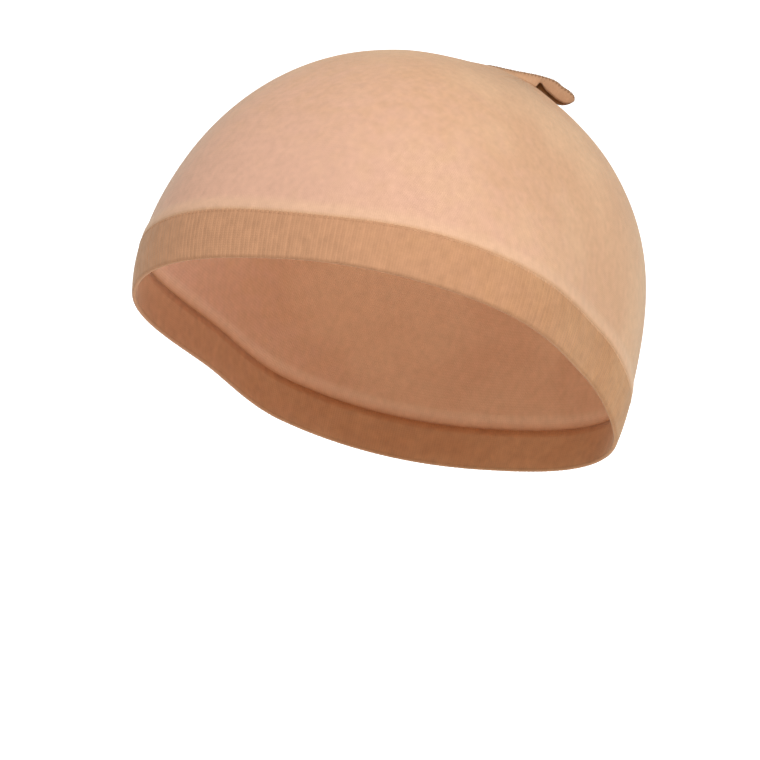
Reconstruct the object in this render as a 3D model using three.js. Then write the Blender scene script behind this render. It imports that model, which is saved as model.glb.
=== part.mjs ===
// A stocking wig cap in the form that it has when it is worn: a knitted crown that is drawn together
// at a closed toe, a doubled welt round its lower edge and the sewn seam that closes the toe.
// Millimetres, +Z up. The forehead is at -Y and the wearer's left side at +X.
// The origin is on the inside of the crown, right above the middle of the widest level.
import * as THREE from "three";

// Inside of the cap, measured from the middle of its widest level
const FRONT_HALF_BREADTH = 74;
const BACK_HALF_BREADTH = 78;
const FOREHEAD_REACH = 89.5;
const BACK_REACH = 93.5;
const CROWN_RISE = 83.5;
const SIDE_DROP = 112;
// 2 makes the widest level an ellipse, and a higher power squares it up as the temples do
const PLAN_SQUARENESS = 2.45;
// Soft swellings of the form: where each lies and how far it spreads in degrees, yaw from the
// forehead, and its height as a share of the half breadth at the back
const SWELLS = [
  { place: "top", yaw: 0, pitch: 90, spread: 40, rise: 0.015 },
  { place: "left temple", yaw: 62, pitch: -2, spread: 24, rise: 0.07 },
  { place: "right temple", yaw: -62, pitch: -2, spread: 24, rise: 0.07 },
  { place: "left upper back", yaw: 125, pitch: 38, spread: 34, rise: 0.042 },
  { place: "right upper back", yaw: -125, pitch: 38, spread: 34, rise: 0.042 },
  { place: "back", yaw: 180, pitch: -5, spread: 36, rise: 0.024 },
];

// Lower edge: heights above the widest level, with a straight fall from forehead to nape
const EDGE_AT_FOREHEAD = 10;
const EDGE_AT_NAPE = -60;
// From over the ears to behind them the edge sags below that line
const EDGE_SAG = { from: 0, to: 40, depth: 4 };

// Cloth
const KNIT_WALL = 1;
const WELT_WALL = 1.6;
const WELT_WIDTH = 16;
// The welt's upper edge dips over the forehead: where, how far it spreads in degrees, and by how much
const WELT_DIP = { yaw: 15, spread: 18, depth: 1.7 };
const SEAT_GAP = 0.3;

// Soft roll of the knit just above the welt
const ROLL_WIDTH = 6;
const ROLL_RISE = 0.6;

// Closed toe, and the gathers that run into it
const TOE = { yaw: 131, pitch: 60.5 };
const GATHER_COUNT = 12;
const GATHER_REACH = 30;
const GATHER_DEPTH = 0.7;
const TOE_RISE = 0.6;

// Seam that closes the toe: a ridge over the toe that ends in a free tongue
const SEAM_AIM = { yaw: 128, pitch: 47.5 };
const SEAM_LENGTH = 34;
const SEAM_BEFORE_TOE = 16.5;
const SEAM_HEIGHT = 5.6;
const SEAM_THICKNESS = 3.2;
// One row for each section from the start of the ridge to the tip of the tongue: its place as a share
// of the seam's length, its height and lift as shares of the seam's height, and its thickness share
const SEAM_SECTIONS = [
  { along: 0.06, height: 0.05, lift: 0, thickness: 0.35 },
  { along: 0.15, height: 0.1, lift: 0, thickness: 0.5 },
  { along: 0.265, height: 0.175, lift: 0, thickness: 0.6 },
  { along: 0.38, height: 0.34, lift: 0, thickness: 0.7 },
  { along: 0.5, height: 0.56, lift: 0, thickness: 0.8 },
  { along: 0.62, height: 0.745, lift: 0, thickness: 0.9 },
  { along: 0.735, height: 0.97, lift: 0.02, thickness: 1 },
  { along: 0.85, height: 0.9, lift: 0.09, thickness: 1 },
  { along: 0.935, height: 0.75, lift: 0.22, thickness: 0.92 },
  { along: 0.98, height: 0.52, lift: 0.4, thickness: 0.75 },
];
const SEAM_TIP_RISE = 0.68;

// Places of the knit's rows between the roll and the toe, as shares of that way
const OUTER_ROWS = [0.1, 0.21, 0.32, 0.43, 0.54, 0.64, 0.73, 0.81, 0.87, 0.915, 0.95, 0.978];
const INNER_ROWS = [0.12, 0.28, 0.44, 0.6, 0.74, 0.84, 0.9, 0.945, 0.978];
const ROLL_ROWS = [0, 0.25, 0.5, 0.75, 1];
// Cross-section of the welt, from its folded edge up the outside and down the inside: the place over
// its width and over its thickness, as shares
const WELT_SECTION = [
  { up: 0, out: 0.5 },
  { up: 0.025, out: 0.85 },
  { up: 0.09, out: 1 },
  { up: 0.37, out: 1 },
  { up: 0.68, out: 1 },
  { up: 0.94, out: 0.97 },
  { up: 1, out: 0.72 },
  { up: 1, out: 0 },
  { up: 0.66, out: 0 },
  { up: 0.33, out: 0 },
  { up: 0.03, out: 0 },
];

// The highest value of the curve that the gathers' depth follows, (1 - near) * near ** 2
const GATHER_PEAK = 4 / 27;

// Fineness of the faceted solids
const COLUMNS = 72;
const SEAM_SIDES = 12;
const BISECTIONS = 40;
const SLOPE_STEP = 0.01;

const KNIT = new THREE.MeshStandardMaterial({ color: 0xe1b28e, roughness: 0.85, metalness: 0 });
const WELT = new THREE.MeshStandardMaterial({ color: 0xc8966e, roughness: 0.9, metalness: 0 });
const SEAM = new THREE.MeshStandardMaterial({ color: 0xb98c6b, roughness: 0.9, metalness: 0 });

const UP = new THREE.Vector3(0, 0, 1);

// Unit vector towards a yaw from the forehead and a pitch above the widest level, in degrees
function towards({ yaw, pitch }) {
  const turn = THREE.MathUtils.degToRad(yaw);
  const climb = THREE.MathUtils.degToRad(pitch);
  return new THREE.Vector3(
    Math.sin(turn) * Math.cos(climb),
    -Math.cos(turn) * Math.cos(climb),
    Math.sin(climb),
  );
}

// Reach that passes smoothly from one value to another as a direction's component goes by zero
function blendedReach(below, above, component) {
  const share = THREE.MathUtils.smoothstep(component, -0.5, 0.5);
  return 1 / Math.sqrt(1 / below ** 2 + (1 / above ** 2 - 1 / below ** 2) * share);
}

// How far the swellings raise the form in a direction
function swelling(direction) {
  let rise = 0;
  for (const swell of SWELLS) {
    const spread = THREE.MathUtils.degToRad(swell.spread);
    const nearness = direction.dot(towards(swell)) - 1;
    rise += swell.rise * BACK_HALF_BREADTH * Math.exp((2 * nearness) / spread ** 2);
  }
  return rise;
}

// Distance from the middle to the inside of the cap
function insideReach(direction) {
  const breadth = blendedReach(FRONT_HALF_BREADTH, BACK_HALF_BREADTH, direction.y);
  const depth = blendedReach(FOREHEAD_REACH, BACK_REACH, direction.y);
  const height = blendedReach(SIDE_DROP, CROWN_RISE, direction.z);
  const level =
    Math.abs(direction.x / breadth) ** PLAN_SQUARENESS +
    Math.abs(direction.y / depth) ** PLAN_SQUARENESS;
  const share = level ** (2 / PLAN_SQUARENESS) + (direction.z / height) ** 2;
  return 1 / Math.sqrt(share) + swelling(direction);
}

function insidePoint(direction) {
  return direction.clone().multiplyScalar(insideReach(direction));
}

// Direction turned from one towards another by an angle, past it or back if need be
function turned(from, to, angle) {
  const side = to.clone().addScaledVector(from, -to.dot(from)).normalize();
  return from.clone().multiplyScalar(Math.cos(angle)).addScaledVector(side, Math.sin(angle));
}

// Outward normal of the form in a direction
function normalAt(direction) {
  const first = new THREE.Vector3(1, 0, 0).cross(direction);
  const second = new THREE.Vector3(0, 1, 0).cross(direction);
  const across = insidePoint(turned(direction, first, SLOPE_STEP)).sub(
    insidePoint(turned(direction, first, -SLOPE_STEP)),
  );
  const along = insidePoint(turned(direction, second, SLOPE_STEP)).sub(
    insidePoint(turned(direction, second, -SLOPE_STEP)),
  );
  const normal = across.cross(along).normalize();
  return normal.dot(direction) < 0 ? normal.negate() : normal;
}

// Point that stands a distance outside the inside of the cap
function proudPoint(direction, distance) {
  return insidePoint(direction).addScaledVector(normalAt(direction), distance);
}

// The value between two where a test turns from true to false
function turningPoint(low, high, test) {
  let from = low;
  let to = high;
  for (let step = 0; step < BISECTIONS; step += 1) {
    const middle = (from + to) / 2;
    if (test(middle)) from = middle;
    else to = middle;
  }
  return (from + to) / 2;
}

// Columns of the knit: directions over the lower edge, each on a meridian that is square to the edge
const EDGE_FALL = (EDGE_AT_FOREHEAD - EDGE_AT_NAPE) / (FOREHEAD_REACH + BACK_REACH);
const EDGE_AXIS = new THREE.Vector3(0, EDGE_FALL, 1).normalize();

function heightOverEdge(point) {
  const sag = EDGE_SAG.depth * THREE.MathUtils.smoothstep(point.y, EDGE_SAG.from, EDGE_SAG.to);
  return point.z + sag - (EDGE_AT_FOREHEAD - EDGE_FALL * (point.y + FOREHEAD_REACH));
}

// Direction of a column at an angle down from the axis of the lower edge
function onColumn(column, angle) {
  const turn = (2 * Math.PI * column) / COLUMNS;
  const side = new THREE.Vector3(1, 0, 0)
    .multiplyScalar(Math.sin(turn))
    .addScaledVector(new THREE.Vector3(0, -EDGE_AXIS.z, EDGE_AXIS.y), Math.cos(turn));
  return EDGE_AXIS.clone().multiplyScalar(Math.cos(angle)).addScaledVector(side, Math.sin(angle));
}

// Direction on a column at a distance above the lower edge, along the surface
function aboveEdge(column, distance) {
  const edge = turningPoint(0, Math.PI, (angle) => {
    return heightOverEdge(insidePoint(onColumn(column, angle))) > 0;
  });
  const edgePoint = insidePoint(onColumn(column, edge));
  const angle = turningPoint(0, edge, (tried) => {
    return insidePoint(onColumn(column, tried)).distanceTo(edgePoint) > distance;
  });
  return onColumn(column, angle);
}

// Width of the welt on a column
function weltWidth(column) {
  const yaw = THREE.MathUtils.degToRad(WELT_DIP.yaw);
  const spread = THREE.MathUtils.degToRad(WELT_DIP.spread);
  const nearness = Math.cos((2 * Math.PI * column) / COLUMNS - yaw) - 1;
  return WELT_WIDTH - WELT_DIP.depth * Math.exp((2 * nearness) / spread ** 2);
}

// How far the knit stands out where it is drawn up to the toe, with the gathers at their full depth
// or, where a column is given, as they run along that column
function toeRise(direction, column) {
  const toe = towards(TOE);
  const away = direction.angleTo(toe) * insideReach(toe);
  const near = Math.max(0, 1 - away / GATHER_REACH);
  const gather = (GATHER_DEPTH * (1 - near) * near ** 2) / GATHER_PEAK;
  const turn = column === undefined ? 0 : (2 * Math.PI * GATHER_COUNT * column) / COLUMNS;
  return gather * (0.5 + 0.5 * Math.cos(turn)) + TOE_RISE * near ** 3;
}

// Closed surface over rings of points, with a cap at each end, or joined last ring to first
function skin(rings, joined, first, last) {
  const points = rings.flat();
  const width = rings[0].length;
  const index = [];
  const bands = joined ? rings.length : rings.length - 1;
  for (let ring = 0; ring < bands; ring += 1) {
    const here = ring * width;
    const next = ((ring + 1) % rings.length) * width;
    for (let step = 0; step < width; step += 1) {
      const after = (step + 1) % width;
      index.push(here + step, next + step, next + after);
      index.push(here + step, next + after, here + after);
    }
  }
  if (!joined) {
    points.push(first, last);
    const start = points.length - 2;
    const end = points.length - 1;
    const lastRing = (rings.length - 1) * width;
    for (let step = 0; step < width; step += 1) {
      const after = (step + 1) % width;
      index.push(start, step, after);
      index.push(end, lastRing + after, lastRing + step);
    }
  }
  const geometry = new THREE.BufferGeometry().setFromPoints(points);
  geometry.setIndex(index);
  geometry.computeVertexNormals();
  return geometry;
}

// One ring of points with a point for each column
function ringOf(pointOn) {
  return Array.from({ length: COLUMNS }, (_, column) => pointOn(column));
}

function named(name, geometry, material) {
  const mesh = new THREE.Mesh(geometry, material);
  mesh.name = name;
  return mesh;
}

// Knitted crown: from the toe down the outside to the welt, and back up the inside
function crown() {
  const toe = towards(TOE);
  const foot = ringOf((column) => aboveEdge(column, weltWidth(column) + SEAT_GAP));
  const rollTop = ringOf((column) => aboveEdge(column, weltWidth(column) + SEAT_GAP + ROLL_WIDTH));
  const onWay = (column, share) => {
    return turned(rollTop[column], toe, share * rollTop[column].angleTo(toe));
  };
  const onRoll = (column, share) => {
    return turned(foot[column], rollTop[column], share * foot[column].angleTo(rollTop[column]));
  };
  const outer = OUTER_ROWS.map((share) =>
    ringOf((column) => {
      const direction = onWay(column, share);
      return proudPoint(direction, KNIT_WALL + toeRise(direction, column));
    }),
  ).reverse();
  const roll = ROLL_ROWS.map((share) =>
    ringOf((column) => {
      const rise = ROLL_RISE * Math.sin(Math.PI * share) ** 2;
      return proudPoint(onRoll(column, share), KNIT_WALL + rise);
    }),
  ).reverse();
  const hem = [foot.map(insidePoint), rollTop.map(insidePoint)];
  const inner = INNER_ROWS.map((share) =>
    ringOf((column) => {
      const direction = onWay(column, share);
      return proudPoint(direction, toeRise(direction, column));
    }),
  );
  const outerToe = proudPoint(toe, KNIT_WALL + TOE_RISE);
  const innerToe = proudPoint(toe, TOE_RISE);
  return named("crown", skin([...outer, ...roll, ...hem, ...inner], false, outerToe, innerToe), KNIT);
}

// Welt: the knit turned up double round the lower edge
function weltBand() {
  const rings = WELT_SECTION.map(({ up, out }) =>
    ringOf((column) => proudPoint(aboveEdge(column, up * weltWidth(column)), out * WELT_WALL)),
  ).reverse();
  return named("welt_band", skin(rings, true), WELT);
}

// Place on the seam: a distance from its start, a height over the knit and a distance to the side
function onSeam(along, height, aside) {
  const toe = towards(TOE);
  const aim = towards(SEAM_AIM);
  const angle = (along - SEAM_BEFORE_TOE) / insideReach(toe);
  const direction = turned(toe, aim, angle);
  const ahead = turned(toe, aim, angle + SLOPE_STEP);
  const normal = normalAt(direction);
  const side = ahead.sub(direction).cross(normal).normalize();
  const seat = KNIT_WALL + toeRise(direction) + SEAT_GAP;
  return proudPoint(direction, seat + height).addScaledVector(side, aside);
}

// Seam of the closed toe, a flat fold that stands on edge and ends in a tongue
function toeSeam() {
  const rings = SEAM_SECTIONS.map((section) =>
    Array.from({ length: SEAM_SIDES }, (_, side) => {
      const turn = (2 * Math.PI * side) / SEAM_SIDES;
      const height = SEAM_HEIGHT * (section.lift + (section.height * (1 - Math.cos(turn))) / 2);
      const aside = ((SEAM_THICKNESS * section.thickness) / 2) * Math.sin(turn);
      return onSeam(section.along * SEAM_LENGTH, height, aside);
    }),
  );
  const start = onSeam(0, 0, 0);
  const tip = onSeam(SEAM_LENGTH, SEAM_HEIGHT * SEAM_TIP_RISE, 0);
  return named("toe_seam", skin(rings, false, start, tip), SEAM);
}

const cap = new THREE.Group();
cap.add(crown(), weltBand(), toeSeam());
cap.position.z = -insideReach(UP);

export default cap;
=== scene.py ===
"""Looks of a stocking wig cap: its knitted crown, its ribbed welt and the seam of its closed toe."""
import logging
import math
from dataclasses import dataclass, replace
from enum import Enum
from typing import Callable

import bpy
import numpy as np
from mathutils import Matrix, Vector


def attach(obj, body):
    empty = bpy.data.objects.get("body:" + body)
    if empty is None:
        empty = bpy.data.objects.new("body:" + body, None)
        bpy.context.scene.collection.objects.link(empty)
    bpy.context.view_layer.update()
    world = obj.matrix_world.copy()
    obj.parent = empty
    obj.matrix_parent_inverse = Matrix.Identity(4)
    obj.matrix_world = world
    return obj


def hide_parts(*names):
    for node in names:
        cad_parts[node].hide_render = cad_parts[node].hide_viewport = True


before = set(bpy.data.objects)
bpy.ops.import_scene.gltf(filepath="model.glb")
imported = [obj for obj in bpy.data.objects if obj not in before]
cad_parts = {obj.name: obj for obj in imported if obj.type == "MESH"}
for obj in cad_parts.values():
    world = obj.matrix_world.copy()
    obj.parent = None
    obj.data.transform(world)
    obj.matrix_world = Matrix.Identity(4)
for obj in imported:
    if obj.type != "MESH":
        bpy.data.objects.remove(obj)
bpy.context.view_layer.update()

LOG = logging.getLogger("wig_cap")
MM = 0.001
FULL_TURN = 2 * math.pi
MERGE_DISTANCE = 1e-6
HALVINGS = 32
NOISE_MEAN = 0.5


class Slot(Enum):
    """Material slots of the record that the pieces take their finishes from."""

    KNIT = "knit"
    WELT = "welt"
    SEAM = "seam"


def unit(vectors: np.ndarray) -> np.ndarray:
    """Scale vectors to a length of one."""
    return vectors / np.linalg.norm(vectors, axis=-1, keepdims=True)


def towards(yaw: float, pitch: float) -> np.ndarray:
    """Find the unit vector towards a place on the head.

    Args:
        yaw: Angle from the forehead towards the wearer's left, in degrees.
        pitch: Angle above the widest level, in degrees.

    Returns:
        The unit vector.
    """
    turn, climb = math.radians(yaw), math.radians(pitch)
    level = math.cos(climb)
    return np.array([math.sin(turn) * level, -math.cos(turn) * level, math.sin(climb)])


def smoothstep(values: np.ndarray) -> np.ndarray:
    """Ease shares from 0 to 1, held at both ends."""
    share = np.clip(values, 0.0, 1.0)
    return share * share * (3 - 2 * share)


def turned(start: np.ndarray, end: np.ndarray, angles: np.ndarray) -> np.ndarray:
    """Turn unit vectors from one direction towards another, or past it.

    Args:
        start: Directions to start from.
        end: Directions to turn towards.
        angles: Angles of the turn, in radians.

    Returns:
        The turned unit vectors.
    """
    side = unit(end - start * np.sum(start * end, axis=-1, keepdims=True))
    angles = np.asarray(angles)[..., None]
    return start * np.cos(angles) + side * np.sin(angles)


def angle_between(first: np.ndarray, second: np.ndarray) -> np.ndarray:
    """Measure the angles between unit vectors, in radians."""
    return np.arccos(np.clip(np.sum(first * second, axis=-1), -1.0, 1.0))


def turning_point(
    low: np.ndarray, high: np.ndarray, test: Callable[[np.ndarray], np.ndarray]
) -> np.ndarray:
    """Find the values where a test turns from true to false.

    Args:
        low: Values where the test is true.
        high: Values where it is false.
        test: The test, on an array of values.

    Returns:
        The values between, after enough halvings for a thousandth of a millimetre.
    """
    for _ in range(HALVINGS):
        middle = (low + high) / 2
        held = test(middle)
        low, high = np.where(held, middle, low), np.where(held, high, middle)
    return (low + high) / 2


@dataclass(frozen=True)
class Swell:
    """A soft swelling of the form: where it lies and spreads in degrees, and its rise as a share."""

    yaw: float
    pitch: float
    spread: float
    rise: float


@dataclass(frozen=True)
class WornForm:
    """Inside of the worn cap, in millimetres from the middle of its widest level."""

    front_half_breadth: float = 74.0
    back_half_breadth: float = 78.0
    forehead_reach: float = 89.5
    back_reach: float = 93.5
    crown_rise: float = 83.5
    side_drop: float = 112.0
    plan_squareness: float = 2.45
    passage: float = 0.5
    slope_step: float = 0.01
    swells: tuple[Swell, ...] = (
        Swell(yaw=0, pitch=90, spread=40, rise=0.015),
        Swell(yaw=62, pitch=-2, spread=24, rise=0.07),
        Swell(yaw=-62, pitch=-2, spread=24, rise=0.07),
        Swell(yaw=125, pitch=38, spread=34, rise=0.042),
        Swell(yaw=-125, pitch=38, spread=34, rise=0.042),
        Swell(yaw=180, pitch=-5, spread=36, rise=0.024),
    )

    def blended(self, below: float, above: float, component: np.ndarray) -> np.ndarray:
        """Pass from one reach to another as a direction's component goes by zero.

        Args:
            below: Reach where the component is well under zero.
            above: Reach where it is well over zero.
            component: The direction's component.

        Returns:
            The reaches between.
        """
        share = smoothstep((component + self.passage) / (2 * self.passage))
        return 1 / np.sqrt(1 / below**2 + (1 / above**2 - 1 / below**2) * share)

    def reach(self, directions: np.ndarray) -> np.ndarray:
        """Measure from the middle to the inside of the cap.

        Args:
            directions: Unit vectors.

        Returns:
            A distance for each, in millimetres.
        """
        x, y, z = np.moveaxis(directions, -1, 0)
        breadth = self.blended(self.front_half_breadth, self.back_half_breadth, y)
        depth = self.blended(self.forehead_reach, self.back_reach, y)
        height = self.blended(self.side_drop, self.crown_rise, z)
        power = self.plan_squareness
        level = np.abs(x / breadth) ** power + np.abs(y / depth) ** power
        reach = 1 / np.sqrt(level ** (2 / power) + (z / height) ** 2)
        for swell in self.swells:
            nearness = directions @ towards(swell.yaw, swell.pitch) - 1
            spread = math.radians(swell.spread)
            reach = reach + swell.rise * self.back_half_breadth * np.exp(2 * nearness / spread**2)
        return reach

    def inside(self, directions: np.ndarray) -> np.ndarray:
        """Find the points of the inside in some directions, from the middle."""
        return directions * self.reach(directions)[..., None]

    def normals(self, directions: np.ndarray) -> np.ndarray:
        """Find the outward normals of the form.

        Args:
            directions: Unit vectors.

        Returns:
            A unit normal for each.
        """
        tangents = []
        step = np.full(directions.shape[:-1], self.slope_step)
        for axis in ((1.0, 0.0, 0.0), (0.0, 1.0, 0.0)):
            aside = unit(np.cross(np.array(axis), directions))
            ahead = self.inside(turned(directions, aside, step))
            behind = self.inside(turned(directions, aside, -step))
            tangents.append(ahead - behind)
        normals = unit(np.cross(tangents[0], tangents[1]))
        outward = np.sum(normals * directions, axis=-1, keepdims=True) < 0
        return np.where(outward, -normals, normals)

    def proud(self, directions: np.ndarray, distance: np.ndarray | float) -> np.ndarray:
        """Find points that stand outside the inside of the cap.

        Args:
            directions: Unit vectors.
            distance: How far each point stands out, in millimetres.

        Returns:
            The points in millimetres from the middle.
        """
        distance = np.broadcast_to(distance, directions.shape[:-1])[..., None]
        return self.inside(directions) + self.normals(directions) * distance

    def placed(self, points: np.ndarray) -> np.ndarray:
        """Bring points from the middle's millimetres into the part's frame, in metres."""
        top = self.reach(np.array([0.0, 0.0, 1.0]))
        return (points - np.array([0.0, 0.0, float(top)])) * MM


@dataclass(frozen=True)
class LowerEdge:
    """The cap's lower edge, a straight fall from forehead to nape, with the columns and welt over it."""

    form: WornForm
    at_forehead: float = 10.0
    at_nape: float = -60.0
    sag_from: float = 0.0
    sag_to: float = 40.0
    sag_depth: float = 4.0
    width: float = 16.0
    dip_yaw: float = 15.0
    dip_spread: float = 18.0
    dip_depth: float = 1.7

    @property
    def fall(self) -> float:
        """Fall of the edge for each millimetre from front to back."""
        return (self.at_forehead - self.at_nape) / (self.form.forehead_reach + self.form.back_reach)

    def welt_width(self, turns: np.ndarray) -> np.ndarray:
        """Measure the welt's width on columns, with its dip over the forehead."""
        nearness = np.cos(turns - math.radians(self.dip_yaw)) - 1
        return self.width - self.dip_depth * np.exp(2 * nearness / math.radians(self.dip_spread) ** 2)

    def column(self, turns: np.ndarray, angles: np.ndarray) -> np.ndarray:
        """Find directions on the columns of the knit.

        Args:
            turns: Angles of the columns round the edge's own axis, in radians.
            angles: Angles down from that axis, in radians.

        Returns:
            Unit vectors.
        """
        axis = unit(np.array([0.0, self.fall, 1.0]))
        front = np.array([0.0, -axis[2], axis[1]])
        side = np.sin(turns)[..., None] * np.array([1.0, 0.0, 0.0]) + np.cos(turns)[..., None] * front
        return axis * np.cos(angles)[..., None] + side * np.sin(angles)[..., None]

    def above(self, turns: np.ndarray, distance: np.ndarray | float) -> np.ndarray:
        """Find the directions at a distance above the edge, along the surface.

        Args:
            turns: Angles of the columns, in radians.
            distance: Distances above the edge, in millimetres.

        Returns:
            Unit vectors.
        """
        form = self.form

        def over_edge(angles: np.ndarray) -> np.ndarray:
            """Tell which points of the columns lie above the lower edge."""
            points = form.inside(self.column(turns, angles))
            line = self.at_forehead - self.fall * (points[..., 1] + form.forehead_reach)
            back = smoothstep((points[..., 1] - self.sag_from) / (self.sag_to - self.sag_from))
            return points[..., 2] > line - self.sag_depth * back

        zero = np.zeros(turns.shape)
        edge = turning_point(zero, zero + math.pi, over_edge)
        feet = form.inside(self.column(turns, edge))

        def beyond(angles: np.ndarray) -> np.ndarray:
            """Tell which points of the columns lie further from the edge than the distance."""
            points = form.inside(self.column(turns, angles))
            return np.linalg.norm(points - feet, axis=-1) > distance

        return self.column(turns, turning_point(zero, edge, beyond))


@dataclass(frozen=True)
class ToeLine:
    """The closed toe and the line of its seam over the crown, in millimetres."""

    form: WornForm
    toe_yaw: float = 131.0
    toe_pitch: float = 60.5
    aim_yaw: float = 128.0
    aim_pitch: float = 47.5
    length: float = 34.0
    before_toe: float = 16.5
    gather_reach: float = 30.0
    gather_depth: float = 0.7
    # Highest value of the curve that the gathers' depth follows, (1 - near) * near**2
    gather_peak: float = 4 / 27
    gather_mean: float = 0.4
    toe_rise: float = 0.6
    ridge_rise: float = 0.8
    ridge_spread: float = 6.0
    ridge_start: float = -8.0
    ridge_full: float = 6.0
    ridge_falls: float = 17.0
    ridge_end: float = 31.0

    @property
    def toe(self) -> np.ndarray:
        """Direction of the closed toe."""
        return towards(self.toe_yaw, self.toe_pitch)

    @property
    def reach(self) -> float:
        """Distance from the middle to the closed toe."""
        return float(self.form.reach(self.toe))

    def along(self, places: np.ndarray) -> np.ndarray:
        """Find directions on the seam's line, at places from its start."""
        aim = towards(self.aim_yaw, self.aim_pitch)
        return turned(self.toe, aim, (np.asarray(places) - self.before_toe) / self.reach)

    def sideways(self, places: np.ndarray) -> np.ndarray:
        """Find the unit vectors square to the seam's line, along the surface.

        Args:
            places: Places on the line from its start.

        Returns:
            A unit vector for each.
        """
        directions = self.along(places)
        ahead = self.along(np.asarray(places) + 1.0) - directions
        return unit(np.cross(ahead, self.form.normals(directions)))

    def place_of(self, directions: np.ndarray) -> tuple[np.ndarray, np.ndarray]:
        """Find where directions lie beside the seam's line.

        Args:
            directions: Unit vectors.

        Returns:
            Places along the line from its start, and distances to its side.
        """
        aim = towards(self.aim_yaw, self.aim_pitch)
        ahead = unit(aim - self.toe * float(self.toe @ aim))
        aside = np.cross(ahead, self.toe)
        along = np.arctan2(directions @ ahead, directions @ self.toe) * self.reach + self.before_toe
        across = np.arcsin(np.clip(directions @ aside, -1.0, 1.0)) * self.reach
        return along, across

    def nearness(self, directions: np.ndarray) -> np.ndarray:
        """Grade directions from 0 at the end of the gathers to 1 at the toe."""
        away = angle_between(directions, np.broadcast_to(self.toe, directions.shape)) * self.reach
        return np.clip(1 - away / self.gather_reach, 0.0, 1.0)

    def rise(self, directions: np.ndarray, pleat: np.ndarray | float) -> np.ndarray:
        """Measure how far the knit stands out where it is drawn up to the toe and its seam.

        Args:
            directions: Unit vectors.
            pleat: Share of the gathers' depth in each direction.

        Returns:
            The rises in millimetres.
        """
        near = self.nearness(directions)
        gather = self.gather_depth * (1 - near) * near**2 / self.gather_peak
        along, across = self.place_of(directions)
        started = smoothstep((along - self.ridge_start) / (self.ridge_full - self.ridge_start))
        left = smoothstep((self.ridge_end - along) / (self.ridge_end - self.ridge_falls))
        ridge = self.ridge_rise * started * left * np.exp(-((across / self.ridge_spread) ** 2))
        return gather * pleat + self.toe_rise * near**3 + ridge


def linear(hex_colour: str) -> tuple[float, float, float, float]:
    """Turn an sRGB hex colour into a linear one with alpha.

    Args:
        hex_colour: Six hex digits after a hash sign.

    Returns:
        Red, green, blue and alpha.
    """
    channels = [int(hex_colour[start : start + 2], 16) / 255 for start in (1, 3, 5)]
    curved = [c / 12.92 if c <= 0.04045 else ((c + 0.055) / 1.055) ** 2.4 for c in channels]
    return (*curved, 1.0)


@dataclass(frozen=True)
class Nodes:
    """A material's node tree, with short ways to add to it."""

    tree: bpy.types.NodeTree

    def add(self, kind: str, inputs: dict | None = None, **settings) -> bpy.types.Node:
        """Add a node with its settings, values and links.

        Args:
            kind: Node type.
            inputs: Value, or output socket to link, for each input by name or number.
            **settings: Attributes of the node.

        Returns:
            The node.
        """
        node = self.tree.nodes.new(kind)
        for key, value in settings.items():
            setattr(node, key, value)
        for key, value in (inputs or {}).items():
            if isinstance(value, bpy.types.NodeSocket):
                self.tree.links.new(value, node.inputs[key])
            else:
                node.inputs[key].default_value = value
        return node

    def calc(self, operation: str, *terms: bpy.types.NodeSocket | float) -> bpy.types.NodeSocket:
        """Work out a sum, product or function of one to three terms."""
        return self.add("ShaderNodeMath", dict(enumerate(terms)), operation=operation).outputs[0]

    def graded(
        self, value: bpy.types.NodeSocket, start: float, end: float, low: float = 0.0, high: float = 1.0
    ) -> bpy.types.NodeSocket:
        """Grade a value softly between two levels.

        Args:
            value: The value.
            start: Value that gives the low level.
            end: Value that gives the high level.
            low: Low level.
            high: High level.

        Returns:
            The level's socket.
        """
        inputs = {"Value": value, "From Min": start, "From Max": end, "To Min": low, "To Max": high}
        return self.add("ShaderNodeMapRange", inputs, interpolation_type="SMOOTHSTEP").outputs[0]

    def mix(
        self, share: bpy.types.NodeSocket | float, first: bpy.types.NodeSocket | str,
        second: bpy.types.NodeSocket | str,
    ) -> bpy.types.NodeSocket:
        """Mix two colours, each a socket or a hex colour.

        Args:
            share: Share of the second colour.
            first: First colour.
            second: Second colour.

        Returns:
            The mixed colour's socket.
        """
        colours = [linear(colour) if isinstance(colour, str) else colour for colour in (first, second)]
        inputs = {0: share, 6: colours[0], 7: colours[1]}
        return self.add("ShaderNodeMix", inputs, data_type="RGBA").outputs[2]

    def noise(self, place: bpy.types.NodeSocket, scale: float, detail: float = 2.0) -> bpy.types.NodeSocket:
        """Draw a noise pattern, and give its grey level.

        Args:
            place: Coordinates that the pattern follows.
            scale: Number of patches for each unit of the coordinates.
            detail: Number of finer patterns laid over it.

        Returns:
            The grey level's socket.
        """
        inputs = {"Vector": place, "Scale": scale, "Detail": detail}
        return self.add("ShaderNodeTexNoise", inputs).outputs["Fac"]


class Along(Enum):
    """Directions over a piece's UV map."""

    ROUND = "X"
    UP = "Y"


@dataclass(frozen=True)
class Tint:
    """A colour that comes in softly between two places of the UV map."""

    way: Along
    start: float
    end: float
    colour: str
    strength: float


@dataclass(frozen=True)
class Gauge:
    """How fine a knit is: the size of its UV map, and its spacing of wales and courses, in mm."""

    size_round: float
    size_up: float
    wale: float
    course: float

    @property
    def wales(self) -> int:
        """Whole number of wales across the map, so that the knit closes."""
        return round(self.size_round / self.wale)

    @property
    def courses(self) -> int:
        """Whole number of courses up the map."""
        return round(self.size_up / self.course)


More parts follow.
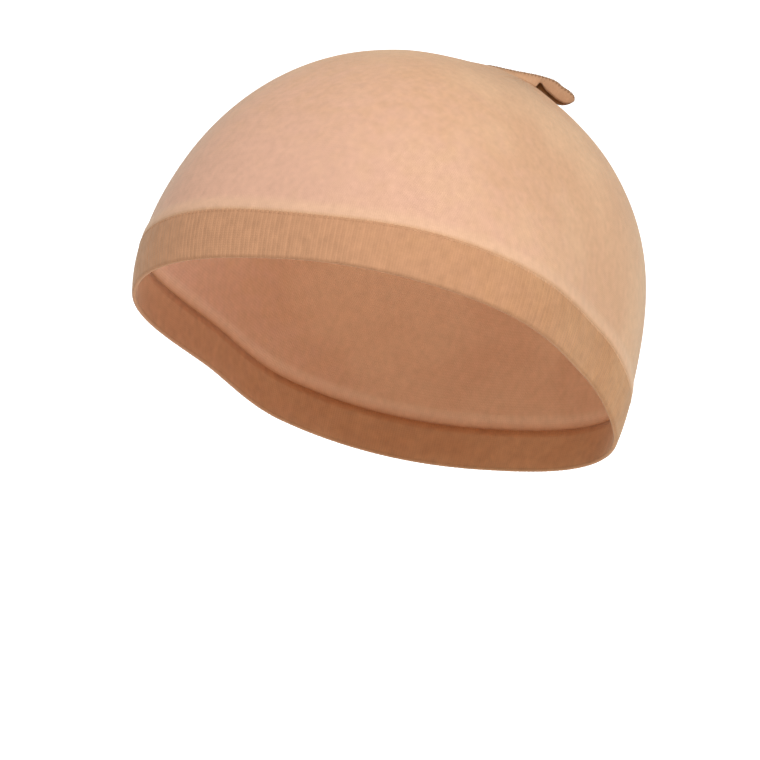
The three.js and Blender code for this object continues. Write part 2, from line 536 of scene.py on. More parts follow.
@dataclass(frozen=True)
class KnitFinish:
    """Fine nylon and elastane hosiery knit: matt yarn, soft sheen, stitches in columns."""

    name: str
    tan: str
    tan_deep: str
    rosy: str
    gauge: Gauge
    stitch_depth: float
    stitch_shade: float
    streak: float
    speckle: float = 0.22
    roughness: float = 0.88
    specular: float = 0.2
    sheen: float = 0.4
    sheen_roughness: float = 0.32
    sheen_tint: str = "#d4dccb"
    tints: tuple[Tint, ...] = ()
    # Each stitch is a V: the slope of its legs, the share of its height that rises and sinks along a
    # leg, and the mean height that counts as neither light nor dark
    slant: float = 1.2
    crest: float = 0.25
    mean_height: float = 0.55
    # Sizes of the patches in millimetres: clouds and blotches where the stretch changes, speckle
    # where the yarn does. The yarn's own unevenness, a few tenths of a millimetre, is drawn coarser,
    # because it is too fine to show
    cloud_size: float = 33.3
    cloud_edges: tuple[float, float] = (0.36, 0.64)
    blotch_size: float = 6.67
    blotch_share: float = 0.07
    speckle_size: float = 2.5
    # Flecks about two wales wide and six courses long, where the yarn is thicker or thinner
    fleck_across: float = 0.5
    fleck_along: float = 0.17
    # The front is rosier towards the wearer's right, where the knit is stretched thinnest
    rosy_way: tuple[float, float, float] = (-0.3, -0.8, -0.45)
    rosy_from: float = 0.0
    rosy_to: float = 0.095

    def stitches(self, nodes: Nodes, uv: bpy.types.NodeSocket) -> bpy.types.NodeSocket:
        """Draw the V-shaped stitches in their columns.

        Args:
            nodes: Material's nodes.
            uv: UV map, split into its parts.

        Returns:
            Socket of the stitches' height, from 0 to 1.
        """
        wale = nodes.calc("MULTIPLY", uv["X"], self.gauge.wales)
        course = nodes.calc("MULTIPLY", uv["Y"], self.gauge.courses)
        fold = nodes.calc("PINGPONG", wale, 0.5)
        leg = nodes.calc("SINE", nodes.calc("MULTIPLY", fold, FULL_TURN))
        slant = nodes.calc("MULTIPLY_ADD", fold, self.slant, course)
        crest = nodes.calc("COSINE", nodes.calc("MULTIPLY", slant, FULL_TURN))
        lifted = nodes.calc("MULTIPLY_ADD", crest, self.crest, 1 - self.crest)
        return nodes.calc("MULTIPLY", nodes.calc("ABSOLUTE", leg), lifted)

    def yarn(self, nodes: Nodes, place: bpy.types.NodeSocket) -> bpy.types.NodeSocket:
        """Mix the yarn's colours, from tan to rosy with cloudy patches where the stretch changes.

        Args:
            nodes: Material's nodes.
            place: Object coordinates.

        Returns:
            The colour's socket.
        """
        clouds = nodes.noise(place, 1 / (self.cloud_size * MM), detail=3.0)
        clouds = nodes.graded(clouds, *self.cloud_edges)
        tan = nodes.mix(clouds, self.tan_deep, self.tan)
        facing = nodes.add(
            "ShaderNodeVectorMath", {0: place, 1: self.rosy_way}, operation="DOT_PRODUCT"
        ).outputs["Value"]
        blotches = nodes.calc("SUBTRACT", nodes.noise(place, 1 / (self.blotch_size * MM)), NOISE_MEAN)
        facing = nodes.calc("MULTIPLY_ADD", blotches, self.blotch_share, facing)
        return nodes.mix(nodes.graded(facing, self.rosy_from, self.rosy_to), tan, self.rosy)

    def shaded(
        self, nodes: Nodes, colour: bpy.types.NodeSocket, height: bpy.types.NodeSocket,
        place: bpy.types.NodeSocket, uv: bpy.types.NodeSocket,
    ) -> bpy.types.NodeSocket:
        """Paint shade into the gaps between stitches, with streaks along the wales and a fine speckle.

        Args:
            nodes: Material's nodes.
            colour: The yarn's colour.
            height: The stitches' height.
            place: Object coordinates.
            uv: UV map, split into its parts.

        Returns:
            The colour's socket.
        """
        wales = nodes.add(
            "ShaderNodeCombineXYZ",
            {
                0: nodes.calc("MULTIPLY", uv["X"], self.gauge.wales * self.fleck_across),
                1: nodes.calc("MULTIPLY", uv["Y"], self.gauge.courses * self.fleck_along),
            },
        ).outputs[0]
        streaks = nodes.calc("SUBTRACT", nodes.noise(wales, 1.0), NOISE_MEAN)
        speckle = nodes.calc("SUBTRACT", nodes.noise(place, 1 / (self.speckle_size * MM)), NOISE_MEAN)
        raised = nodes.calc("SUBTRACT", height, self.mean_height)
        level = nodes.calc("MULTIPLY_ADD", raised, self.stitch_shade, 1.0)
        level = nodes.calc("MULTIPLY_ADD", streaks, self.streak, level)
        level = nodes.calc("MULTIPLY_ADD", speckle, self.speckle, level)
        return nodes.add("ShaderNodeVectorMath", {0: colour, 3: level}, operation="SCALE").outputs[0]

    def make(self) -> bpy.types.Material:
        """Make the material.

        Returns:
            The material, named for the knit.
        """
        material = bpy.data.materials.new(self.name)
        material.use_nodes = True
        material.node_tree.nodes.clear()
        nodes = Nodes(material.node_tree)
        place = nodes.add("ShaderNodeTexCoord").outputs["Object"]
        uv_map = nodes.add("ShaderNodeUVMap", uv_map="UVMap").outputs["UV"]
        uv = nodes.add("ShaderNodeSeparateXYZ", {0: uv_map}).outputs
        height = self.stitches(nodes, uv)
        colour = self.yarn(nodes, place)
        for tint in self.tints:
            share = nodes.graded(uv[tint.way.value], tint.start, tint.end, 0.0, tint.strength)
            colour = nodes.mix(share, colour, tint.colour)
        inputs = {"Strength": 1.0, "Distance": self.stitch_depth * MM, "Height": height}
        bump = nodes.add("ShaderNodeBump", inputs).outputs[0]
        shader = nodes.add(
            "ShaderNodeBsdfPrincipled",
            {
                "Base Color": self.shaded(nodes, colour, height, place, uv),
                "Normal": bump,
                "Roughness": self.roughness,
                "Specular IOR Level": self.specular,
                "Sheen Weight": self.sheen,
                "Sheen Roughness": self.sheen_roughness,
                "Sheen Tint": linear(self.sheen_tint),
            },
        )
        nodes.add("ShaderNodeOutputMaterial", {"Surface": shader.outputs[0]})
        return material


Places = Callable[[np.ndarray, np.ndarray], tuple[np.ndarray, np.ndarray]]


def laid_grid(name: str, columns: int, rows: int, places: Places) -> bpy.types.Object:
    """Add a grid and lay it in its place, with every point worked out from its column and row.

    Args:
        name: Name of the piece.
        columns: Faces across the grid.
        rows: Faces along the grid.
        places: Gives points in metres and UV places for columns and rows, as shares from 0 to 1.

    Returns:
        The laid grid.
    """
    bpy.ops.object.select_all(action="DESELECT")
    bpy.ops.mesh.primitive_grid_add(
        x_subdivisions=columns, y_subdivisions=rows, size=1.0, location=(0, 0, 0)
    )
    piece = bpy.context.object
    piece.name = name
    piece.data.name = name
    mesh = piece.data
    corners = np.zeros(len(mesh.vertices) * 3, np.float32)
    mesh.vertices.foreach_get("co", corners)
    corners = corners.reshape(-1, 3) + 0.5
    column, row = (np.rint(corners[:, way] * count).astype(int) for way, count in ((0, columns), (1, rows)))
    points, uv = places(np.arange(columns + 1) / columns, np.arange(rows + 1) / rows)
    mesh.vertices.foreach_set("co", points[row, column].astype(np.float32).ravel())
    uses = np.zeros(len(mesh.loops), np.int32)
    mesh.loops.foreach_get("vertex_index", uses)
    mesh.uv_layers.active.data.foreach_set("uv", uv[row, column][uses].astype(np.float32).ravel())
    mesh.update()
    return piece


def over_grid(across: np.ndarray, along: np.ndarray) -> np.ndarray:
    """Pair places across and along into a UV map for every row and column."""
    return np.stack(np.broadcast_arrays(across, along), axis=-1)


def close_up(piece: bpy.types.Object) -> None:
    """Join the sides of a piece where they meet and turn its faces outwards.

    Args:
        piece: The piece.
    """
    bpy.ops.object.select_all(action="DESELECT")
    piece.select_set(True)
    bpy.context.view_layer.objects.active = piece
    bpy.ops.object.mode_set(mode="EDIT")
    bpy.ops.mesh.select_all(action="SELECT")
    bpy.ops.mesh.remove_doubles(threshold=MERGE_DISTANCE)
    bpy.ops.mesh.normals_make_consistent(inside=False)
    bpy.ops.object.mode_set(mode="OBJECT")
    bpy.ops.object.shade_smooth()


def thicken(piece: bpy.types.Object, wall: float) -> None:
    """Give a sheet its wall, inwards from the face that shows.

    Args:
        piece: The sheet.
        wall: Thickness of the wall, in metres.
    """
    solid = piece.modifiers.new("wall", "SOLIDIFY")
    solid.thickness = wall
    solid.offset = -1.0
    bpy.context.view_layer.objects.active = piece
    bpy.ops.object.modifier_apply(modifier=solid.name)


def seat(piece: bpy.types.Object, material: bpy.types.Material) -> None:
    """Dress a piece and fix it to the part.

    Args:
        piece: The piece.
        material: The finish.
    """
    piece.data.materials.clear()
    piece.data.materials.append(material)
    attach(piece, "root")
    LOG.info("%s: %d faces", piece.name, len(piece.data.polygons))


@dataclass(frozen=True)
class Pleat:
    """One of the waves that the gathers are made of."""

    count: int
    weight: float
    phase: float


@dataclass
class CrownKnit:
    """The stretched crown, from the welt up to the closed toe, with its gathers and its soft roll."""

    form: WornForm
    edge: LowerEdge
    toe: ToeLine
    columns: int = 320
    rows: int = 136
    knit_wall: float = 1.0
    cloth: float = 0.8
    above_welt: float = 0.15
    roll_width: float = 6.5
    roll_rise: float = 0.55
    roll_foot: float = 0.4
    roll_peak: float = 0.36
    roll_rows: float = 0.1
    roll_uv: float = 0.05
    crowding: float = 1.2
    crease: float = 0.8
    pleats: tuple[Pleat, ...] = (
        Pleat(count=24, weight=0.5, phase=0.4),
        Pleat(count=37, weight=0.3, phase=1.9),
        Pleat(count=53, weight=0.2, phase=3.1),
    )
    flat: tuple[float, float] = (0.36, 0.18)

    def pleat(self, turns: np.ndarray) -> np.ndarray:
        """Shape the gathers round the toe as uneven creases, as shares of their depth."""
        waves = [
            pleat.weight * (1 - np.abs(np.sin(pleat.count * turns / 2 + pleat.phase)) ** self.crease)
            for pleat in self.pleats
        ]
        return np.sum(waves, axis=0)

    def places(self, columns: np.ndarray, rows: np.ndarray) -> tuple[np.ndarray, np.ndarray]:
        """Lay the crown's grid.

        Args:
            columns: Places round the cap, as shares.
            rows: Places from the welt to the toe, as shares.

        Returns:
            Points in metres, and UV places.
        """
        turns = FULL_TURN * columns + math.pi
        start = self.edge.welt_width(turns) + self.above_welt
        foot = self.edge.above(turns, start)[None]
        top = self.edge.above(turns, start + self.roll_width)[None]
        on_roll = np.clip(rows / self.roll_rows, 0.0, 1.0)[:, None]
        on_way = np.clip((rows - self.roll_rows) / (1 - self.roll_rows), 0.0, 1.0)[:, None]
        on_way = 1 - (1 - on_way) ** self.crowding
        low = turned(foot, top, on_roll * angle_between(foot, top))
        toe = np.broadcast_to(self.toe.toe, top.shape)
        high = turned(top, toe, on_way * angle_between(top, toe))
        directions = np.where((rows < self.roll_rows)[:, None, None], low, high)
        started = self.roll_foot + (self.roll_rise - self.roll_foot) * smoothstep(on_roll / self.roll_peak)
        rise = started * smoothstep((1 - on_roll) / (1 - self.roll_peak))
        rise = rise + self.toe.rise(directions, self.pleat(turns)[None])
        points = self.form.placed(self.form.proud(directions, self.knit_wall + rise))
        up = np.where(on_way > 0, self.roll_uv + (1 - self.roll_uv) * on_way, self.roll_uv * on_roll)
        return points, over_grid(columns[None], up)

    def build(self, material: bpy.types.Material) -> bpy.types.Object:
        """Build and dress the crown.

        Args:
            material: The knit's finish.

        Returns:
            The piece.
        """
        piece = laid_grid("crown_knit", self.columns, self.rows, self.places)
        close_up(piece)
        thicken(piece, self.cloth * MM)
        seat(piece, material)
        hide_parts("crown")
        return piece


# The welt as worn: its girth and width, its ribs' spacing and that of its courses
WELT_GAUGE = Gauge(size_round=566.0, size_up=16.0, wale=1.77, course=0.8)


@dataclass
class WeltBand:
    """The knit turned up double round the lower edge, with its ribs."""

    form: WornForm
    edge: LowerEdge
    wales: int = WELT_GAUGE.wales
    columns_per_wale: int = 4
    wall: float = 1.6
    puff: float = 0.08
    shoulder: float = 0.4
    rib_depth: float = 0.16
    rib_starts: float = 0.6
    rib_fade: float = 0.8
    rib_left: float = 0.25
    groove_sharpness: float = 1.4
    uneven: tuple[float, float] = (0.35, 1.3)
    seed: int = 11
    fold_steps: int = 7
    face_steps: int = 17
    shoulder_steps: int = 4
    inside_steps: int = 6
    flat: tuple[float, float] = (0.36, 0.034)

    def section(self) -> tuple[np.ndarray, np.ndarray, np.ndarray]:
        """Draw the welt's closed section, from the fold up the outside and down the inside.

        Returns:
            Heights above the lower edge, distances out, and shares of the ribs' depth.
        """
        half = self.wall / 2
        fold = np.linspace(-math.pi / 2, math.pi / 2, self.fold_steps)
        face = np.linspace(0.0, 1.0, self.face_steps)[1:]
        bend = np.linspace(0.0, math.pi / 2, self.shoulder_steps)[1:]
        down = np.linspace(1.0, 0.0, self.inside_steps)
        width = self.edge.width
        face_top = width - self.shoulder
        up = [half - half * np.cos(fold), half + face * (face_top - half)]
        out = [half + half * np.sin(fold), self.wall + self.puff * np.sin(math.pi * face)]
        up += [face_top + self.shoulder * np.sin(bend), half + down * (width - half)]
        out += [self.wall - self.shoulder * (1 - np.cos(bend)), np.zeros(self.inside_steps)]
        heights, distances = np.concatenate(up), np.concatenate(out)
        ribs = smoothstep(distances / half - self.rib_starts)
        ribs = ribs * smoothstep((width - heights) / self.rib_fade + self.rib_left)
        return heights, distances, ribs

    def grooves(self, columns: np.ndarray) -> np.ndarray:
        """Find how deep the grooves between the ribs are, deepest halfway between two ribs.

        Args:
            columns: Places round the cap, as shares.

        Returns:
            Shares of the ribs' depth, uneven from groove to groove.
        """
        place = columns * self.wales
        depths = np.random.default_rng(self.seed).uniform(*self.uneven, self.wales + 1)
        depths[-1] = depths[0]
        share = np.mod(place, 1.0)
        depth = depths[np.minimum(np.floor(place + 0.5).astype(int), self.wales)]
        return depth * np.abs(2 * share - 1) ** self.groove_sharpness

    def places(self, columns: np.ndarray, rows: np.ndarray) -> tuple[np.ndarray, np.ndarray]:
        """Lay the welt's grid.

        Args:
            columns: Places round the cap, as shares.
            rows: Places round the section, as shares.

        Returns:
            Points in metres, and UV places.
        """
        turns = FULL_TURN * columns + math.pi
        narrowing = self.edge.welt_width(turns) / self.edge.width
        groove = self.rib_depth * self.grooves(columns)
        heights, distances, ribs = self.section()
        points = np.zeros((len(rows), len(columns), 3))
        for row, (height, distance, rib) in enumerate(zip(heights, distances, ribs)):
            directions = self.edge.above(turns, height * narrowing)
            points[row] = self.form.proud(directions, distance - rib * groove)
        up = np.clip(heights / self.edge.width, 0.0, 1.0)[:, None]
        return self.form.placed(points), over_grid(columns[None], up)

    def build(self, material: bpy.types.Material) -> bpy.types.Object:
        """Build and dress the welt.

        Args:
            material: The welt's finish.

        Returns:
            The piece.
        """
        rows = len(self.section()[0]) - 1
        piece = laid_grid("welt_band_knit", self.wales * self.columns_per_wale, rows, self.places)
        close_up(piece)
        seat(piece, material)
        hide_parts("welt_band")
        return piece


@dataclass
class WeltJoin:
    """Row of transfer stitches that joins the turned-up knit to the crown at the welt's top."""

    form: WornForm
    edge: LowerEdge
    stitches: int = WELT_GAUGE.wales
    columns_per_stitch: int = 6
    sides: int = 8
    distance: float = 1.32
    half_height: float = 0.62
    half_depth: float = 0.42
    waist: float = 0.55

    def places(self, columns: np.ndarray, rows: np.ndarray) -> tuple[np.ndarray, np.ndarray]:
        """Lay the row of stitches, a cord that narrows between them.

        Args:
            columns: Places round the cap, as shares.
            rows: Places round the cord, as shares.

        Returns:
            Points in metres, and UV places.
        """
        turns = FULL_TURN * columns + math.pi
        swell = self.waist + (1 - self.waist) * np.abs(np.sin(math.pi * self.stitches * columns))
        points = np.zeros((len(rows), len(columns), 3))
        for row, angle in enumerate(FULL_TURN * rows):
            height = self.edge.welt_width(turns) + swell * self.half_height * math.sin(angle)
            directions = self.edge.above(turns, height)
            distance = self.distance + swell * self.half_depth * math.cos(angle)
            points[row] = self.form.proud(directions, distance)
        return self.form.placed(points), over_grid(columns[None], rows[:, None])

    def build(self, material: bpy.types.Material) -> bpy.types.Object:
        """Build and dress the row of stitches.

        Args:
            material: The stitches' finish.

        Returns:
            The piece.
        """
        columns = self.stitches * self.columns_per_stitch
        piece = laid_grid("welt_join_stitches", columns, self.sides, self.places)
        close_up(piece)
        seat(piece, material)
        return piece


@dataclass(frozen=True)
class Station:
    """One section of the toe seam, in millimetres.

    place is the way from the seam's start, top the height of its ridge over the knit, near and far the
    heights of its two feet over the knit, and half its half thickness.
    """

    place: float
    top: float
    near: float
    far: float
    half: float


@dataclass
class ToeSeam:
    """The sewn seam over the toe: a fold of knit on edge, drawn out of the crown, with a free end."""

    form: WornForm
    toe: ToeLine
    knit_wall: float = 1.0
    rows: int = 190
    steps: int = 20
    cloth: float = 0.7
    cloth_share: float = 0.55
    tucked: float = 0.25
    tucked_to: float = 0.5
    least_height: float = 0.05
    side_roundness: float = 0.7
    edge_roundness: float = 0.9
    soften_edge: float = 1.6
    soften_feet: float = 0.3
    samples_per_mm: int = 20
    flare: float = 0.9
    flare_sharpness: float = 3.0
    pucker: float = 0.12
    pucker_pitch: float = 1.2
    full_from: float = 1.0
    flat: tuple[float, float] = (0.034, 0.01)
    stations: tuple[Station, ...] = (
        Station(place=0.0, top=0.0, near=-0.1, far=-0.1, half=0.3),
        Station(place=2.0, top=0.2, near=-0.2, far=-0.2, half=0.6),
        Station(place=5.0, top=0.55, near=-0.25, far=-0.25, half=0.8),
        Station(place=9.0, top=1.1, near=-0.25, far=-0.25, half=0.95),
        Station(place=13.0, top=1.95, near=-0.25, far=-0.25, half=1.1),
        Station(place=17.0, top=3.2, near=-0.25, far=-0.25, half=1.25),
        Station(place=20.0, top=4.3, near=-0.25, far=-0.25, half=1.4),
        Station(place=21.0, top=4.65, near=-0.2, far=-0.25, half=1.5),
        Station(place=21.2, top=4.75, near=2.1, far=-0.25, half=1.55),
        Station(place=22.2, top=5.1, near=2.35, far=-0.25, half=1.55),
        Station(place=22.9, top=5.4, near=1.9, far=-0.25, half=1.6),
        Station(place=24.5, top=6.0, near=1.3, far=-0.2, half=1.6),
        Station(place=26.2, top=6.3, near=1.3, far=-0.2, half=1.6),
        Station(place=28.5, top=6.25, near=1.25, far=-0.1, half=1.6),
        Station(place=30.5, top=6.55, near=1.5, far=0.3, half=1.55),
        Station(place=31.8, top=6.5, near=1.85, far=1.1, half=1.45),
        Station(place=32.7, top=6.35, near=2.55, far=2.0, half=1.2),
        Station(place=33.4, top=6.0, near=3.4, far=3.1, half=0.85),
        Station(place=34.0, top=5.0, near=4.6, far=4.6, half=0.2),
    )

    def softened(self, places: np.ndarray, name: str) -> np.ndarray:
        """Read a size of the sections along the seam, with soft changes between them.

        Args:
            places: Places from the seam's start.
            name: The size's name in a station.

        Returns:
            The sizes in millimetres.
        """
        soften = self.soften_feet if name in ("near", "far") else self.soften_edge
        samples = np.arange(0.0, self.toe.length, 1 / self.samples_per_mm)
        stations = np.array([station.place for station in self.stations])
        values = np.interp(samples, stations, [getattr(station, name) for station in self.stations])
        reach = int(soften * self.samples_per_mm / 2)
        window = np.hanning(2 * reach + 1)
        padded = np.pad(values, reach, mode="edge")
        return np.interp(places, samples, np.convolve(padded, window / window.sum(), mode="valid"))

    def skin(self, place: np.ndarray, angle: np.ndarray, inner: np.ndarray | float) -> np.ndarray:
        """Find points on the skins of the fold.

        Args:
            place: Places along the seam.
            angle: Angles round the section, from 0 at the near foot over the edge to pi at the far foot.
            inner: 1 on the inner skin and 0 on the outer one.

        Returns:
            Points in millimetres from the middle.
        """
        top, near, far, half = (self.softened(place, name) for name in ("top", "near", "far", "half"))
        cloth = inner * np.minimum(self.cloth, half * self.cloth_share)
        full = np.minimum(half / self.full_from, 1.0)
        cosine, sine = np.cos(angle), np.abs(np.sin(angle))
        foot = near * (1 + cosine) / 2 + far * (1 - cosine) / 2
        pucker = self.pucker * np.cos(FULL_TURN * place / self.pucker_pitch) * sine * full
        sewn_down = smoothstep(1 - (near + self.tucked) / self.tucked_to)
        flared = self.flare * sewn_down * full * (1 - sine) ** self.flare_sharpness
        breadth = half - cloth + flared + (1 - inner) * pucker
        aside = breadth * np.sign(cosine) * np.abs(cosine) ** self.side_roundness
        rise = np.maximum(top - cloth - foot, self.least_height)
        height = foot + rise * sine**self.edge_roundness
        directions = self.toe.along(place)
        height = height + self.knit_wall + self.toe.rise(directions, self.toe.gather_mean)
        points = self.form.inside(directions) + self.toe.sideways(place) * aside[..., None]
        return points + self.form.normals(directions) * height[..., None]

    def places(self, columns: np.ndarray, rows: np.ndarray) -> tuple[np.ndarray, np.ndarray]:
        """Lay the fold's grid, up its near face, over its edge, down its far face and back inside.

        Args:
            columns: Places round the section, as shares: the first half outside, then inside, and the
                last place back on the first.
            rows: Places along the seam, as shares.

        Returns:
            Points in metres, and UV places.
        """
        inner = ((columns >= 0.5) & (columns < 1.0)).astype(float)[None]
        angle = FULL_TURN * np.minimum(columns, 1 - columns)[None]
        points = self.skin(rows[:, None] * self.toe.length, angle, inner)
        for end in (0, -1):
            points[end] = points[end].mean(axis=0)
        return self.form.placed(points), over_grid(columns[None], rows[:, None])

    def build(self, material: bpy.types.Material) -> bpy.types.Object:
        """Build and dress the fold.

        Args:
            material: The seam's finish.

        Returns:
            The piece.
        """
        piece = laid_grid("toe_seam_fold", 2 * self.steps, self.rows, self.places)
        close_up(piece)
        seat(piece, material)
        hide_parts("toe_seam")
        return piece


@dataclass
class OverlockThread:
    """Thread that loops to and fro over the seam's edge."""

    seam: ToeSeam
    first: float = 3.0
    last: float = 33.3
    pitch: float = 1.15
    steps_per_loop: int = 20
    sides: int = 6
    radius: float = 0.15
    sunk: float = 0.06
    reach: float = 0.6

    @property
    def loops(self) -> int:
        """Number of loops along the seam."""
        return round((self.last - self.first) / self.pitch)

    def places(self, columns: np.ndarray, rows: np.ndarray) -> tuple[np.ndarray, np.ndarray]:
        """Lay the thread, a thin round cord on the fold's outer skin.

        Args:
            columns: Places along the thread, as shares.
            rows: Places round it, as shares.

        Returns:
            Points in metres, and UV places.
        """
        place = self.first + (self.last - self.first) * columns
        angle = math.pi / 2 + self.reach * np.sin(FULL_TURN * self.loops * columns)
        skin = self.seam.skin(place, angle, 0.0)
        out = unit(skin - self.seam.skin(place, angle, 1.0))
        centre = skin + out * (self.radius - self.sunk)
        side = unit(np.cross(np.gradient(centre, axis=0), out))
        turn = FULL_TURN * rows[:, None, None]
        points = centre + self.radius * (np.cos(turn) * out + np.sin(turn) * side)
        for end in (0, -1):
            points[:, end] = centre[end]
        return self.seam.form.placed(points), over_grid(columns[None], rows[:, None])

    def build(self, material: bpy.types.Material) -> bpy.types.Object:
        """Build and dress the thread.

        Args:
            material: The thread's finish.

        Returns:
            The piece.
        """
        piece = laid_grid("toe_overlock_thread", self.loops * self.steps_per_loop, self.sides, self.places)
        close_up(piece)
        seat(piece, material)
        return piece


@dataclass
class Studio:
    """Bright backdrop, soft light and the camera, in metres and degrees."""

    form: WornForm
    floor_drop: float = 1.1
    wall_behind: float = 3.0
    floor_ahead: float = 1.6
    wall_rise: float = 1.6
    bend: float = 0.5
    backdrop_width: float = 2.8
    backdrop_rows: int = 60
    paper_roughness: float = 0.95
    paper_glow: float = 0.7
    air_glow: float = 0.45
    azimuth: float = 30.0
    roll: float = 2.2
    distance: float = 1.1
    aim_right: float = -0.0039
    aim_up: float = -0.0276
    lens: float = 150.6
    sensor: float = 36.0

    @property
    def middle(self) -> Vector:
        """Middle of the cap's widest level."""
        return Vector((0.0, 0.0, -float(self.form.reach(np.array([0.0, 0.0, 1.0]))) * MM))

    def backdrop_places(self, columns: np.ndarray, rows: np.ndarray) -> tuple[np.ndarray, np.ndarray]:
        """Lay the backdrop: a floor that bends up into a wall.

        Args:
            columns: Places across, as shares.
            rows: Places from the floor's front to the wall's top, as shares.

        Returns:
            Points in metres, and UV places.
        """
        floor = self.floor_ahead + self.wall_behind - self.bend
        arc = self.bend * math.pi / 2
        way = rows * (floor + arc + self.wall_rise)
        angle = np.clip((way - floor) / self.bend, 0.0, math.pi / 2)
        back = np.minimum(way, floor) - self.floor_ahead + self.bend * np.sin(angle)
        up = self.bend * (1 - np.cos(angle)) + np.maximum(way - floor - arc, 0.0) - self.floor_drop
        turn = math.radians(self.azimuth)
        away, level = (-math.sin(turn), math.cos(turn), 0.0), (math.cos(turn), math.sin(turn), 0.0)
        points = back[:, None, None] * np.array(away) + up[:, None, None] * np.array((0.0, 0.0, 1.0))
        points = points + ((columns - 0.5) * self.backdrop_width)[None, :, None] * np.array(level)
        return points, over_grid(columns[None], rows[:, None])

    def backdrop(self) -> None:
        """Hang the backdrop behind and below the cap.

        Matt white paper, lit through from behind, so it burns out to an even white round the cap.
        """
        sheet = laid_grid("studio_backdrop", 2, self.backdrop_rows, self.backdrop_places)
        bpy.ops.object.shade_smooth()
        material = bpy.data.materials.new("white paper backdrop, lit from behind")
        material.use_nodes = True
        shader = material.node_tree.nodes["Principled BSDF"]
        shader.inputs["Base Color"].default_value = linear("#f4f4f4")
        shader.inputs["Roughness"].default_value = self.paper_roughness
        shader.inputs["Emission Color"].default_value = linear("#ffffff")
        shader.inputs["Emission Strength"].default_value = self.paper_glow
        sheet.data.materials.append(material)

    def lamp(self, name: str, yaw: float, pitch: float, away: float, size: float, power: float) -> None:
        """Hang a soft square lamp that looks at the cap.

        Args:
            name: Name of the lamp.
            yaw: Where it hangs, from the forehead towards the wearer's left.
            pitch: How high it hangs.
            away: Its distance.
            size: Width of its square.
            power: Its power in watts.
        """
        light = bpy.data.lights.new(name, "AREA")
        light.shape = "SQUARE"
        light.size = size
        light.energy = power
        lamp = bpy.data.objects.new(name, light)
        bpy.context.collection.objects.link(lamp)
        way = Vector(towards(yaw, pitch))
        lamp.location = self.middle + way * away
        lamp.rotation_euler = way.to_track_quat("Z", "Y").to_euler()

    def light(self) -> None:
        """Light the studio softly from all round, and more from the upper front."""
        world = bpy.data.worlds.new("white studio")
        bpy.context.scene.world = world
        world.use_nodes = True
        background = world.node_tree.nodes["Background"]
        background.inputs["Color"].default_value = (1.0, 1.0, 1.0, 1.0)
        background.inputs["Strength"].default_value = self.air_glow
        self.lamp("key", yaw=46.0, pitch=39.0, away=1.7, size=1.7, power=23.5)
        bpy.context.scene.view_settings.view_transform = "Standard"

    def camera(self) -> None:
        """Set the camera at the photograph's angle, distance and framing."""
        turn, lean = math.radians(self.azimuth), math.radians(self.roll)
        back = Vector((math.sin(turn), -math.cos(turn), 0.0))
        level = Vector((math.cos(turn), math.sin(turn), 0.0))
        above = Vector((0.0, 0.0, 1.0))
        right = level * math.cos(lean) + above * math.sin(lean)
        up = above * math.cos(lean) - level * math.sin(lean)
        place = self.middle + right * self.aim_right + up * self.aim_up + back * self.distance
        data = bpy.data.cameras.new("camera")
        data.lens = self.lens
        data.sensor_width = self.sensor
        camera = bpy.data.objects.new("camera", data)
        bpy.context.collection.objects.link(camera)
        ways = Matrix((right, up, back)).transposed().to_4x4()
        camera.matrix_world = Matrix.Translation(place) @ ways
        bpy.context.scene.camera = camera


# Nylon and elastane hosiery knit, stretched thin and smooth: matt and even, a warm light tan that
# turns rosier in front, with a pale dusty sheen where it turns away. Real wales are about 0.7 mm
# apart, too fine to show, so they are drawn twice as coarse
CROWN_FINISH = KnitFinish(
    name="stretched nylon hosiery knit",
    tan="#e3b791",
    tan_deep="#dcad88",
    rosy="#e3b398",
    gauge=Gauge(size_round=568.0, size_up=141.0, wale=1.42, course=0.94),
    stitch_depth=0.06,
    stitch_shade=0.06,
    streak=0.12,
    tints=(
        # Painted highlight: a paler band along the crest of the soft roll just above the welt
        Tint(Along.UP, start=0.05, end=0.02, colour="#ecc09c", strength=0.55),
        # The crown's first rows lie deeper in the join, and painted shade darkens them there, towards the
        # welt's tone
        Tint(Along.UP, start=0.014, end=0.002, colour="#d9aa83", strength=0.9),
    ),
)
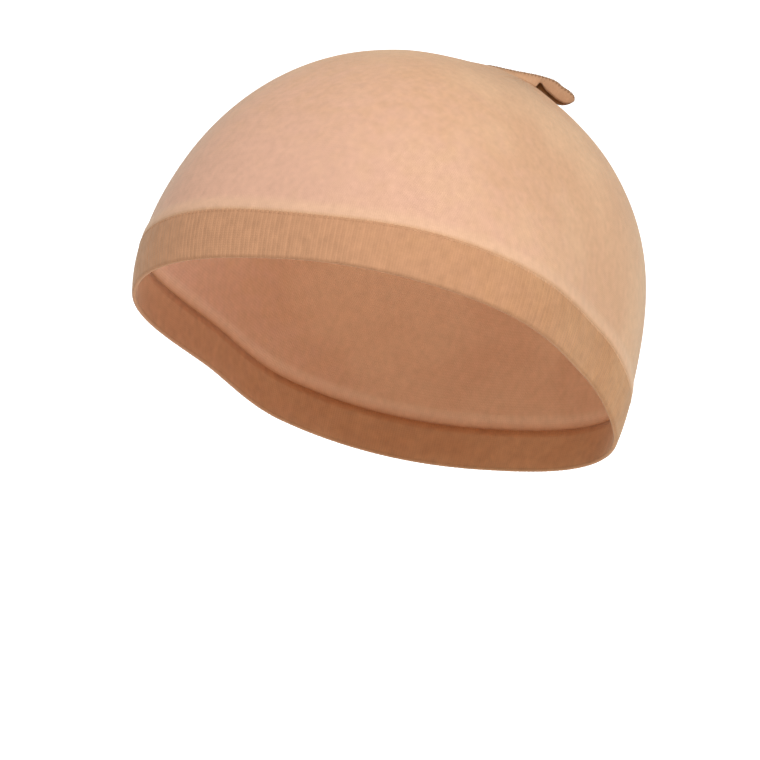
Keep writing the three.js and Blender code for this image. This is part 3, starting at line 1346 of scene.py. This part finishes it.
# The same knit doubled and drawn in by elastic: two layers let less light through, so it is a
# deeper, browner tan, with fine uneven upright ribs and painted shade along the fold at its lower edge
WELT_FINISH = KnitFinish(
    name="doubled elastic rib knit",
    tan="#cc9a6f",
    tan_deep="#c38f65",
    rosy="#ca9671",
    gauge=WELT_GAUGE,
    stitch_depth=0.05,
    stitch_shade=0.09,
    streak=0.3,
    # Painted shade along the rounded fold at the welt's lower edge, darker towards the bottom
    tints=(Tint(Along.UP, start=0.1, end=0.0, colour="#8f6242", strength=0.45),),
)
# Loops of the single yarn that hold the turned-up knit: paler than the welt, a fine beaded line
JOIN_FINISH = replace(
    WELT_FINISH, name="welt transfer stitches", tan="#dcae86", tan_deep="#d2a37b", tints=()
)
# Textured nylon overlock thread: fluffy, dull and browner than the knit, a dark saw-toothed edge
THREAD_FINISH = replace(
    WELT_FINISH, name="overlock thread", tan="#b88c66", tan_deep="#a67a55", tints=()
)
# The crown's knit folded and gathered in the seam: little stretched, so its stitches are closer and
# coarser to the eye, tan on its face, and painted shade deepens the brown in the fold, where the thread is
# thickest
SEAM_FINISH = KnitFinish(
    name="gathered overlocked knit",
    tan="#e0b18f",
    tan_deep="#c79874",
    rosy="#e2ae98",
    gauge=Gauge(size_round=28.0, size_up=34.0, wale=0.7, course=0.77),
    stitch_depth=0.08,
    stitch_shade=0.16,
    streak=0.14,
    tints=(
        Tint(Along.UP, start=0.75, end=0.4, colour="#d8a881", strength=0.9),
        # Brown overlock thread along the fold's edge, then plain knit again on its far face
        Tint(Along.ROUND, start=0.15, end=0.22, colour="#94704f", strength=0.7),
        Tint(Along.ROUND, start=0.27, end=0.36, colour="#d0a07a", strength=1.0),
        # The raw inner side of the seam, thick with brown overlock thread, is darkened further with painted
        # shade for the deep crease in the fold
        Tint(Along.ROUND, start=0.5, end=0.53, colour="#a8703f", strength=1.0),
    ),
)


def main() -> None:
    """Build the cap's pieces and the studio."""
    logging.basicConfig(level=logging.INFO, format="%(name)s %(message)s")
    form = WornForm()
    edge = LowerEdge(form)
    toe = ToeLine(form)
    CrownKnit(form, edge, toe).build(CROWN_FINISH.make())
    WeltBand(form, edge).build(WELT_FINISH.make())
    WeltJoin(form, edge).build(JOIN_FINISH.make())
    seam = ToeSeam(form, toe)
    seam.build(SEAM_FINISH.make())
    OverlockThread(seam).build(THREAD_FINISH.make())
    studio = Studio(form)
    studio.backdrop()
    studio.light()
    studio.camera()


if __name__ == "__main__":
    main()
